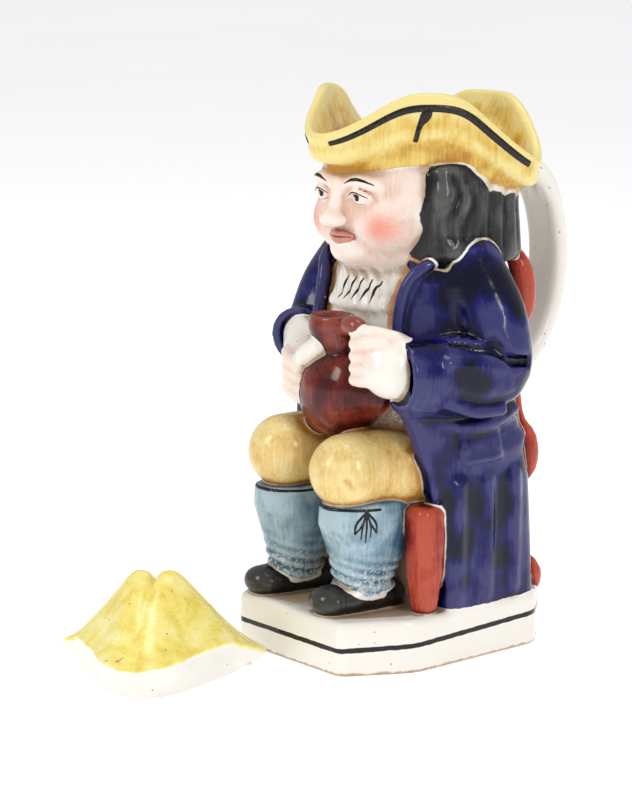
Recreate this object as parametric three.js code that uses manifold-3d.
// A lidded toby jug: a seated drinker in a three-cornered hat, slip-cast in earthenware,
// with a strap handle behind and a loose cover shaped as the crown of the hat.
// Millimetres, +Z up. The sitter faces -Y and the origin is the middle of the flat underside.
import * as THREE from "three";
import { mergeVertices } from "three/addons/utils/BufferGeometryUtils.js";
import Module from "manifold-3d";

const { Manifold, Mesh: SolidMesh } = await loadSolids();

// Driving dimensions
const JUG_HEIGHT = 220; // to the three peaks of the brim
const WALL = 4.5; // fired thickness of the body
const BASE = {
  height: 21, halfWidth: 46, front: -53, back: 53,
  frontFlat: 31, frontCorner: 26, backFlat: 32, backCorner: 16, softEdge: 2.5,
};
const SEAT = { halfWidth: 37, front: -13, back: 42, top: 64 };
const LEG = { kneeHeight: 77.4, kneeRadius: 14.5, kneeReach: -40 };
const HEAD = { middle: [0, 7, 179], halfWidth: 32, halfDepth: 34, halfHeight: 30 };
const HAT = {
  middleY: 12, corners: 3, cornerAngle: -Math.PI / 2, frontStretch: 0.98, backStretch: 1.14,
  rim: 38, frontCorner: 14, rearCorner: 10, peak: JUG_HEIGHT, frontDip: 15, rearDip: 23,
  foot: 33, footCorner: 7, footHeight: 197, rearSag: 8, backDrop: 0.04,
};
const MOUTH = { radius: 26, corner: 5, ledgeHeight: 200 };
const HANDLE = { halfWidth: 10, halfThickness: 4.2, top: 188, bottom: 99, reach: 87, root: 40 };
const COVER = {
  middle: [-20, -103, 0], turn: (42 * Math.PI) / 180, foot: 26, footCorner: 8,
  rim: 28.5, rimCorner: 16.5, lip: 13, lipDroop: 5, wall: 3.5, crown: 39, crownSpread: 0.55,
  hump: 3.5, humpSpread: 6.5, grooveDepth: 2.2,
};
const SEGMENTS = 20;

async function loadSolids() {
  const library = await Module();
  library.setup();
  return library;
}

// ---- Helpers that turn three.js geometry into closed solids and back ----

function solid(geometry, place = new THREE.Matrix4()) {
  const bare = (geometry.index ? geometry.toNonIndexed() : geometry.clone()).applyMatrix4(place);
  bare.deleteAttribute("normal");
  bare.deleteAttribute("uv");
  const merged = mergeVertices(bare, 1e-3);
  const made = new Manifold(new SolidMesh({
    numProp: 3,
    vertProperties: new Float32Array(merged.attributes.position.array),
    triVerts: new Uint32Array(merged.index.array),
  }));
  if (made.volume() < 0) throw new Error("a shape is inside out");
  return made;
}

function geometryOf(made) {
  const { vertProperties, triVerts, numProp, numVert } = made.getMesh();
  const positions = new Float32Array(numVert * 3);
  for (let i = 0; i < numVert; i++)
    positions.set(vertProperties.subarray(i * numProp, i * numProp + 3), i * 3);
  const geometry = new THREE.BufferGeometry();
  geometry.setAttribute("position", new THREE.BufferAttribute(positions, 3));
  geometry.setIndex(new THREE.BufferAttribute(new Uint32Array(triVerts), 1));
  geometry.computeVertexNormals();
  return geometry;
}

const join = (parts) => parts.reduce((sum, part) => sum.add(part));
const mirrored = (x) => [x, -x];

// Casting slip fills any pocket that the joined shapes close off between them.
const withoutPockets = (made) => join(made.decompose().filter((body) => body.volume() > 0));

// ---- Shape builders ----

// Closed skin over a run of rings, each a list of points, with a fan to a point at each end.
function skin(rings, firstPole, lastPole) {
  const count = rings[0].length;
  const points = [firstPole, ...rings.flat(), lastPole];
  const faces = [];
  for (let k = 0; k < count; k++) {
    const next = (k + 1) % count;
    faces.push(0, 1 + next, 1 + k);
    for (let r = 0; r + 1 < rings.length; r++) {
      const here = 1 + r * count;
      const above = here + count;
      faces.push(here + k, here + next, above + next, here + k, above + next, above + k);
    }
    const last = 1 + (rings.length - 1) * count;
    faces.push(last + k, last + next, points.length - 1);
  }
  const geometry = new THREE.BufferGeometry();
  const flat = new Float32Array(points.flatMap((p) => [p.x, p.y, p.z]));
  geometry.setAttribute("position", new THREE.BufferAttribute(flat, 3));
  geometry.setIndex(faces);
  return geometry;
}

// Rounded-rectangle ring: power 2 is an ellipse, higher is squarer.
function levelRing({ x = 0, y, z, w, d, power = 2 }, segments = SEGMENTS) {
  return Array.from({ length: segments }, (_, k) => {
    const angle = (2 * Math.PI * k) / segments;
    const [c, s] = [Math.cos(angle), Math.sin(angle)];
    const bend = (v) => Math.sign(v) * Math.abs(v) ** (2 / power);
    return new THREE.Vector3(x + w * bend(c), y + d * bend(s), z);
  });
}

// Solid through a few level sections from the bottom up.
function stack(levels, segments) {
  const rings = levels.map((level) => levelRing(level, segments));
  const pole = (level) => new THREE.Vector3(level.x ?? 0, level.y, level.z);
  return solid(skin(rings, pole(levels[0]), pole(levels.at(-1))));
}

// Round-ended limb along a smooth path through [x, y, z, radius, flattening] stations.
function limb(stations, { steps = 7, segments = 11 } = {}) {
  const path = new THREE.CatmullRomCurve3(stations.map(([x, y, z]) => new THREE.Vector3(x, y, z)));
  const sizes = new THREE.CatmullRomCurve3(
    stations.map(([, , , radius, flat = 1]) => new THREE.Vector3(radius, flat, 0)));
  const frames = path.computeFrenetFrames(steps, false);
  const rings = [];
  const ringAt = (t, along, share) => {
    const station = Math.round(t * steps);
    const [tangent, side, lift] = [frames.tangents, frames.normals, frames.binormals]
      .map((list) => list[station]);
    const size = sizes.getPoint(t);
    const centre = path.getPointAt(t).addScaledVector(tangent, along * size.x);
    return Array.from({ length: segments }, (_, k) => {
      const angle = (2 * Math.PI * k) / segments;
      return centre.clone()
        .addScaledVector(side, Math.cos(angle) * size.x * size.y * share)
        .addScaledVector(lift, Math.sin(angle) * size.x * share);
    });
  };
  const cap = [0.85, 0.5];
  cap.forEach((a) => rings.push(ringAt(0, -a, Math.sqrt(1 - a * a))));
  for (let i = 0; i <= steps; i++) rings.push(ringAt(i / steps, 0, 1));
  cap.toReversed().forEach((a) => rings.push(ringAt(1, a, Math.sqrt(1 - a * a))));
  const pole = (t, sign) => path.getPointAt(t)
    .addScaledVector(path.getTangentAt(t).normalize(), sign * sizes.getPoint(t).x);
  return solid(skin(rings, pole(0, -1), pole(1, 1)));
}

function ellipsoid([x, y, z], [rx, ry, rz], { tilt = 0, roll = 0, detail = 16 } = {}) {
  const place = new THREE.Matrix4().compose(
    new THREE.Vector3(x, y, z),
    new THREE.Quaternion().setFromEuler(new THREE.Euler(tilt, roll, 0)),
    new THREE.Vector3(rx, ry, rz));
  return solid(new THREE.SphereGeometry(1, detail, Math.round(detail * 0.6)), place);
}

// ---- Base and seat ----

function baseOutline(inset) {
  const b = BASE;
  const cut = b.halfWidth - inset;
  const corners = [
    [b.frontFlat, b.front + inset], [cut, b.front + b.frontCorner],
    [cut, b.back - b.backCorner], [b.backFlat, b.back - inset],
  ];
  const outline = new THREE.Shape();
  corners.forEach(([x, y], i) => (i ? outline.lineTo(x, y) : outline.moveTo(x, y)));
  corners.toReversed().forEach(([x, y]) => outline.lineTo(-x, y));
  return outline;
}

function base() {
  const soft = BASE.softEdge;
  const slab = new THREE.ExtrudeGeometry(baseOutline(soft), {
    depth: BASE.height - soft, bevelEnabled: true, bevelThickness: soft, bevelSize: soft,
    bevelSegments: 2, steps: 1,
  });
  // The bevel below the slab is cut away, which leaves one flat, square-edged underside.
  const cutter = new THREE.BoxGeometry(200, 200, 20).translate(0, 0, -10);
  return solid(slab).subtract(solid(cutter));
}

function seat() {
  const y = (SEAT.front + SEAT.back) / 2;
  const d = (SEAT.back - SEAT.front) / 2;
  return stack([15, SEAT.top].map((z) => ({ y, z, w: SEAT.halfWidth, d, power: 8 })), 24);
}

// Turned post: a round bar whose radius swells between its necks.
function post(x, y, bottom, top, swells, leanX = 0) {
  const profile = [new THREE.Vector2(0, bottom)];
  const steps = 7;
  for (let i = 0; i <= steps; i++) {
    const z = bottom + ((top - bottom) * i) / steps;
    profile.push(new THREE.Vector2(swells((z - bottom) / (top - bottom)), z));
  }
  profile.push(new THREE.Vector2(0, top));
  const lean = new THREE.Matrix4().makeShear(0, 0, 0, 0, leanX, 0);
  const turned = new THREE.LatheGeometry(profile, 8).rotateX(Math.PI / 2);
  return solid(turned, lean.premultiply(new THREE.Matrix4().makeTranslation(x, y, 0)));
}

function posts() {
  const front = (t) => 4.2 + 3.2 * Math.sin(Math.PI * (0.12 + 0.72 * t));
  const back = (t) => 3.6 + 2.6 * Math.abs(Math.cos(Math.PI * t * 2)) ** 6;
  return mirrored(1).flatMap((side) => [
    post(side * 38.5, -16, 17, SEAT.top - 1, front),
    post(side * 31, 43.5, 17, 157, back, side * -0.03),
  ]);
}

// ---- Body, coat and lap ----

function torso() {
  return stack([
    { y: 14, z: 40, w: 32, d: 26, power: 3 },
    { y: 9, z: 72, w: 32, d: 31 },
    { y: 6, z: 92, w: 33, d: 30 },
    { y: 7, z: 112, w: 33, d: 29 },
    { y: 9, z: 132, w: 32, d: 27 },
    { y: 10, z: 150, w: 29, d: 24 },
    { y: 10, z: 164, w: 22, d: 21 },
  ]);
}

function coat() {
  const whole = stack([
    { y: 15, z: 20, w: 45.5, d: 28, power: 5 },
    { y: 15, z: 45, w: 45.5, d: 29, power: 4.5 },
    { y: 14.5, z: 68, w: 45, d: 30, power: 4 },
    { y: 13, z: 88, w: 43, d: 31, power: 3 },
    { y: 12, z: 108, w: 40, d: 32, power: 2.6 },
    { y: 12, z: 130, w: 40.5, d: 31, power: 2.5 },
    { y: 12, z: 148, w: 39, d: 28.5, power: 2.4 },
    { y: 13, z: 160, w: 33, d: 25, power: 2.2 },
    { y: 13, z: 167, w: 24, d: 20 },
  ], 24);
  // The fronts part over the waistcoat and swing wide over the lap.
  const parting = new THREE.Shape();
  const edge = [[13, 170], [19, 152], [21.5, 132], [27, 104], [38, 84], [44, 60], [60, 10]];
  parting.moveTo(-edge[0][0], edge[0][1]);
  edge.forEach(([x, z]) => parting.lineTo(x, z));
  edge.slice(1).toReversed().forEach(([x, z]) => parting.lineTo(-x, z));
  const reach = 60;
  const front = new THREE.ExtrudeGeometry(parting, { depth: reach, bevelEnabled: false })
    .rotateX(Math.PI / 2).translate(0, -9, 0);
  return whole.subtract(solid(front));
}

// Plate standing at the coat's side, cut to an outline of (y, z) points.
function sidePlate(outline, side, near, depth) {
  const slab = new THREE.ExtrudeGeometry(outline, { depth, bevelEnabled: false, curveSegments: 3 });
  const x = side > 0 ? near : -near - depth;
  return solid(slab.rotateX(Math.PI / 2).rotateZ(Math.PI / 2).translate(x, 0, 0));
}

// The skirts' front edges swing forward over the thighs: the left one to a point at the waist,
// and the right one less, because that arm lies over it.
function lapPanels() {
  const edges = {
    left: [[-8, 20], [-9.5, 39], [-11, 52], [-13, 63], [-16.5, 77], [-21.5, 90], [-28, 103], [-30, 107]],
    right: [[-8, 20], [-10, 45], [-13, 63], [-15, 77], [-14, 95]],
  };
  return Object.entries(edges).map(([name, edge]) => {
    const outline = new THREE.Shape();
    outline.moveTo(0, 20);
    edge.forEach(([y, z]) => outline.lineTo(y, z));
    outline.lineTo(0, edge.at(-1)[1]);
    return sidePlate(outline, name === "left" ? 1 : -1, 38, 6);
  });
}

function pocketFlaps() {
  const flap = (side) => {
    const shape = new THREE.Shape();
    shape.moveTo(-1, 83);
    shape.lineTo(-2, 72);
    shape.quadraticCurveTo(6, 66, 14, 71);
    shape.quadraticCurveTo(23, 66, 32, 72);
    shape.lineTo(31, 84);
    shape.quadraticCurveTo(14, 80, -1, 83);
    return sidePlate(shape, side, 39.5, 7);
  };
  return mirrored(1).map(flap);
}

function arms() {
  const left = limb([
    [33, 12, 152, 13], [43, 14, 134, 14], [46, 13, 116, 15], [45, 2, 114, 15], [42.5, -9, 115, 14.5],
  ]);
  const right = limb([
    [-33, 10, 152, 12.5], [-37.5, 1, 138, 12.5], [-37.5, -7, 122, 12.5], [-34.5, -12, 120.5, 12],
  ]);
  return [left, right];
}

function hands() {
  const fist = ([x, y, z], [rx, ry, rz], towards) => [
    ellipsoid([x, y, z], [rx, ry, rz], { detail: 10 }),
    ...[0, 1, 2, 3].map((i) => {
      const lift = (rz * (3 - 2 * i)) / 5;
      return limb([
        [x + 4 * towards, y - 4, z + lift, 3], [x - 3 * towards, y - ry + 1.5, z + lift, 3],
        [x - 8 * towards, y - 6.5, z + lift - 1, 2.8],
      ], { steps: 2, segments: 6 });
    }),
  ];
  const wrist = (stations) => limb(stations, { steps: 2, segments: 8 });
  return [
    ...fist([30, -31, 124], [12, 10, 10.5], 1),
    ...fist([-19, -29.5, 112], [9.5, 9, 9.5], -1),
    wrist([[40, -14, 117, 12], [35, -24, 121, 10.5]]),
    wrist([[-33, -16, 120, 10.5], [-24, -26, 115, 8.5]]),
    limb([[-14, -34, 119, 4.3], [-3, -34.5, 126, 4.3]], { steps: 2, segments: 8 }),
  ];
}

function legs() {
  const heights = [22, 32, 46, 60, 68];
  const halfWidths = [9, 9.3, 12.3, 13.6, 12.5];
  const leg = (side, [kneeX, kneeY, kneeZ], ankleX, toeX, middles, halfDepths) => {
    const calf = heights.map((z, i) => ({
      x: ankleX + (kneeX - ankleX) * Math.min(1, Math.max(0, (z - 32) / 28)),
      y: middles[i], z, w: halfWidths[i], d: halfDepths[i],
    }));
    const thigh = LEG.kneeRadius + 1;
    return [
      limb([
        [side * 25, 6, 74, thigh], [side * 23, -12, 75.5, thigh - 0.3], [kneeX, -28, kneeZ, thigh - 0.7],
        [kneeX, kneeY, kneeZ, LEG.kneeRadius],
      ], { steps: 6, segments: 14 }),
      stack(calf, 16),
      limb([
        [ankleX, -18, 25.5, 5.5, 1.2], [(ankleX + toeX) / 2, -35, 26.5, 6.8, 1.15],
        [toeX, -47, 26.3, 6.2, 1.25],
      ], { steps: 5, segments: 10 }),
    ];
  };
  return [
    ...leg(1, [20, LEG.kneeReach, LEG.kneeHeight], 18, 16.5,
      [-30, -30, -28, -29.5, -31], [12, 12.5, 17, 20.5, 18.5]),
    ...leg(-1, [-20, LEG.kneeReach + 2, LEG.kneeHeight + 1.3], -20.5, -24,
      [-32, -32, -31.2, -33.5, -34], [10.5, 11, 14, 16.5, 15]),
  ];
}

// ---- The little jug in the sitter's hands ----

function heldJug() {
  const profile = [[0, -19], [5, -17.5], [13, -10], [18, -1], [16.5, 6], [10, 13], [4.8, 18],
    [5, 21], [9, 26.5], [10.5, 29], [0, 28.5]];
  const shape = new THREE.LatheGeometry(profile.map(([r, z]) => new THREE.Vector2(r, z)), 18);
  const place = new THREE.Matrix4().compose(
    new THREE.Vector3(5, -29, 107.5),
    new THREE.Quaternion().setFromEuler(new THREE.Euler(Math.PI / 2, 0, -0.17)),
    new THREE.Vector3(1.05, 1, 0.85));
  return solid(shape, place);
}

// ---- Head, hair and hat ----

function head() {
  const [x, y, z] = HEAD.middle;
  return [
    ellipsoid([x, y, z + 6], [HEAD.halfWidth, HEAD.halfDepth, HEAD.halfHeight], { detail: 14 }),
    ellipsoid([x, y - 1, z - 6], [30, 30.5, 22], { detail: 12 }),
    ellipsoid([x, y - 5, z - 18], [19, 20, 9], { detail: 10 }),
    limb([[0, -25.5, z + 7, 2.2], [0, -28, z - 2, 3.4]], { steps: 2, segments: 10 }),
  ];
}

// The side hair falls in three waves, which its front edge shows.
function hair() {
  const wave = [[153, -1.5], [157, 1.5], [163, -0.8], [169, 1.6], [175, -0.6], [182, 1.8], [190, 0]];
  return stack(wave.map(([z, swell]) => ({ y: 17, z, w: 38.8 + swell * 0.4, d: 25 + swell, power: 3 })), 24);
}

// How far round the brim a direction is from a side's middle (0) to a corner (1).
function cornerShare(angle) {
  return (1 + Math.cos(HAT.corners * (angle - HAT.cornerAngle))) / 2;
}

// One ring of the hat: its radius and height depend on the share, and on how far round to the
// rear the direction lies, from 0 to 1.
function hatRing(radius, height, segments = 33) {
  return Array.from({ length: segments }, (_, k) => {
    const angle = (2 * Math.PI * k) / segments;
    const share = cornerShare(angle);
    const rear = Math.min(1, Math.max(0, Math.sin(angle) + 0.5));
    const r = radius(share, rear);
    const stretch = Math.sin(angle) > 0 ? HAT.backStretch : HAT.frontStretch;
    const y = HAT.middleY + r * stretch * Math.sin(angle);
    return new THREE.Vector3(r * Math.cos(angle), y, height(share, rear) - HAT.backDrop * (y - HAT.middleY));
  });
}

function hat() {
  const mix = (front, rearward, rear) => front + (rearward - front) * rear;
  const rim = (s, rear) => HAT.rim + mix(HAT.frontCorner, HAT.rearCorner, rear) * s ** 2.2;
  const foot = (s) => HAT.foot + HAT.footCorner * s;
  const crest = (s, rear) => HAT.peak - mix(HAT.frontDip, HAT.rearDip, rear) * s ** 1.6;
  const footHeight = (s, rear) => HAT.footHeight - (4 + HAT.rearSag * rear) * s;
  const floor = (s, rear) => HAT.footHeight - 9 - HAT.rearSag * rear * s;
  const ledge = (s, rear) => MOUTH.ledgeHeight - HAT.rearSag * rear * s;
  const between = (t, bulge) => (s, rear) => foot(s) + (rim(s, rear) - foot(s)) * t + bulge;
  const climb = (t) => (s, rear) => mix(footHeight(s, rear), crest(s, rear), t);
  const rings = [
    hatRing((s) => foot(s) - 3, floor),
    hatRing(foot, climb(0)),
    hatRing(between(0.35, 1), climb(0.3)),
    hatRing(between(0.75, 1), climb(0.7)),
    hatRing(between(1, 0), climb(0.93)),
    hatRing(between(1, -2.2), climb(1)),
    hatRing(between(1, -WALL), climb(0.93)),
    hatRing(between(0.72, -WALL), climb(0.62)),
    hatRing((s) => MOUTH.radius + 5.5 + (MOUTH.corner + 3) * s, (...place) => ledge(...place) + 1.5),
    hatRing((s) => MOUTH.radius + MOUTH.corner * s, ledge),
  ];
  const pole = (z) => new THREE.Vector3(0, HAT.middleY, z);
  return solid(skin(rings, pole(HAT.footHeight - 9), pole(MOUTH.ledgeHeight)));
}

// ---- Handle ----

function handle() {
  const h = HANDLE;
  const path = new THREE.CatmullRomCurve3([
    [h.root, h.top - 2], [h.root + 16, h.top], [h.reach - 17, h.top - 2], [h.reach - 6, h.top - 12],
    [h.reach - 0.5, h.top - 28], [h.reach, h.bottom + 43], [h.reach - 4, h.bottom + 25],
    [h.reach - 15, h.bottom + 9], [h.root + 16, h.bottom + 1], [h.root, h.bottom],
  ].map(([y, z]) => new THREE.Vector3(0, y, z)));
  const strap = new THREE.Shape();
  const count = 10;
  for (let k = 0; k < count; k++) {
    const angle = (2 * Math.PI * k) / count;
    const x = Math.sign(Math.cos(angle)) * Math.abs(Math.cos(angle)) ** 0.7 * h.halfWidth;
    const y = Math.sin(angle) * h.halfThickness;
    if (k) strap.lineTo(x, y);
    else strap.moveTo(x, y);
  }
  const swept = new THREE.ExtrudeGeometry(strap, { steps: 15, extrudePath: path, bevelEnabled: false });
  return solid(swept);
}

// ---- Inside of the jug ----

function inside() {
  const mouth = [
    hatRing((s) => MOUTH.radius - 1 + MOUTH.corner * s, () => 188),
    hatRing((s) => MOUTH.radius + MOUTH.corner * s, () => JUG_HEIGHT + 20),
  ];
  const pole = (z) => new THREE.Vector3(0, HAT.middleY, z);
  return join([
    solid(skin(mouth, pole(188), pole(JUG_HEIGHT + 20))),
    stack([
      { y: 15, z: 7, w: 37, d: 21.5, power: 3.5 },
      { y: 15, z: 12, w: 40.5, d: 24.5, power: 4.5 },
      { y: 15, z: 45, w: 40.5, d: 24.5, power: 4.2 },
      { y: 15, z: 68, w: 40, d: 25, power: 3.8 },
      { y: 13, z: 88, w: 38, d: 26.5, power: 3 },
      { y: 12, z: 108, w: 35.5, d: 27.5, power: 2.6 },
      { y: 12, z: 130, w: 35.5, d: 26.5, power: 2.5 },
      { y: 12, z: 147, w: 32.5, d: 24, power: 2.2 },
      { y: 12, z: 160, w: 27, d: 21.5 },
      { y: 11, z: 172, w: 31, d: 27 },
      { y: 10, z: 186, w: 32, d: 27.5 },
      { y: 11, z: 195, w: 29, d: 26.5 },
    ]),
  ]);
}

function toby() {
  const outside = join([
    base(), seat(), ...posts(), torso(), coat(), ...lapPanels(), ...pocketFlaps(),
    ...arms(), ...hands(), ...legs(), heldJug(), ...head(), hair(), hat(), handle(),
  ]);
  return withoutPockets(outside).subtract(inside());
}

// ---- Cover: the crown of the hat on a short locating skirt ----

// Height of the lip: lowest at the two rear tips.
function lipHeight(angle) {
  const tip = Math.sin(angle) > 0 ? cornerShare(angle) : 0;
  return COVER.lip - COVER.lipDroop * tip;
}

// Height of the crown at a share t of the way out, before the humps.
function bellHeight(angle, t) {
  const lip = lipHeight(angle);
  return lip + (COVER.crown - lip) * Math.exp(-((t / COVER.crownSpread) ** 2.3));
}

// Two humps stand side by side on the crown, and the groove between them runs down the front.
function crownHeight(x, y, angle, t) {
  const c = COVER;
  const hump = c.hump * Math.exp(-(((Math.abs(x) - c.humpSpread) / 5) ** 2) - (y / 14) ** 2);
  const groove = y < 7 ? c.grooveDepth * Math.exp(-((x / 2.2) ** 2)) * (1 - t) : 0;
  return bellHeight(angle, t) + hump - groove;
}

// Ring of the cover: three drawn-out corners, at a height that varies with the place.
function coverRing(radius, height, segments = 27) {
  return Array.from({ length: segments }, (_, k) => {
    const angle = (2 * Math.PI * k) / segments;
    const r = radius(cornerShare(angle));
    const [x, y] = [r * Math.cos(angle), r * Math.sin(angle)];
    return new THREE.Vector3(x, y, height(x, y, angle));
  });
}

function coverShell(inset, bottom) {
  const c = COVER;
  const foot = (s) => c.foot + c.footCorner * s ** 1.4 - inset;
  const rim = (s) => c.rim + c.rimCorner * s ** 1.6 - 1.4 * inset;
  const under = (x, y, angle) => lipHeight(angle) - 2.5 - inset;
  const top = (x, y, angle, t) => (inset ? bellHeight(angle, t) - inset : crownHeight(x, y, angle, t));
  const rings = [
    coverRing(foot, () => bottom),
    ...(inset ? [coverRing(foot, () => 0.5)] : []),
    coverRing((s) => rim(s) - 0.8, under),
    coverRing(rim, (...place) => under(...place) + 1.4),
    ...[0.97, 0.8, 0.64, 0.48, 0.33, 0.18].map((t) =>
      coverRing((s) => rim(s) * t, (x, y, angle) => top(x, y, angle, t))),
  ];
  const pole = (z) => new THREE.Vector3(0, 0, z);
  return solid(skin(rings, pole(bottom), pole(top(0, 0, 0, 0))));
}

const cover = () => coverShell(0, 0).subtract(coverShell(COVER.wall, -5));

// ---- Scene graph ----

const glaze = (color, roughness) =>
  new THREE.MeshStandardMaterial({ color, roughness, metalness: 0 });

function piece(name, made, material) {
  const mesh = new THREE.Mesh(geometryOf(made), material);
  mesh.name = name;
  return mesh;
}

const root = new THREE.Group();
root.add(piece("jug", toby(), glaze(0xe9e2d6, 0.25)));
const coverMesh = piece("cover", cover(), glaze(0xf0dc86, 0.3));
coverMesh.position.set(...COVER.middle);
coverMesh.rotation.z = COVER.turn;
root.add(coverMesh);

export default root;
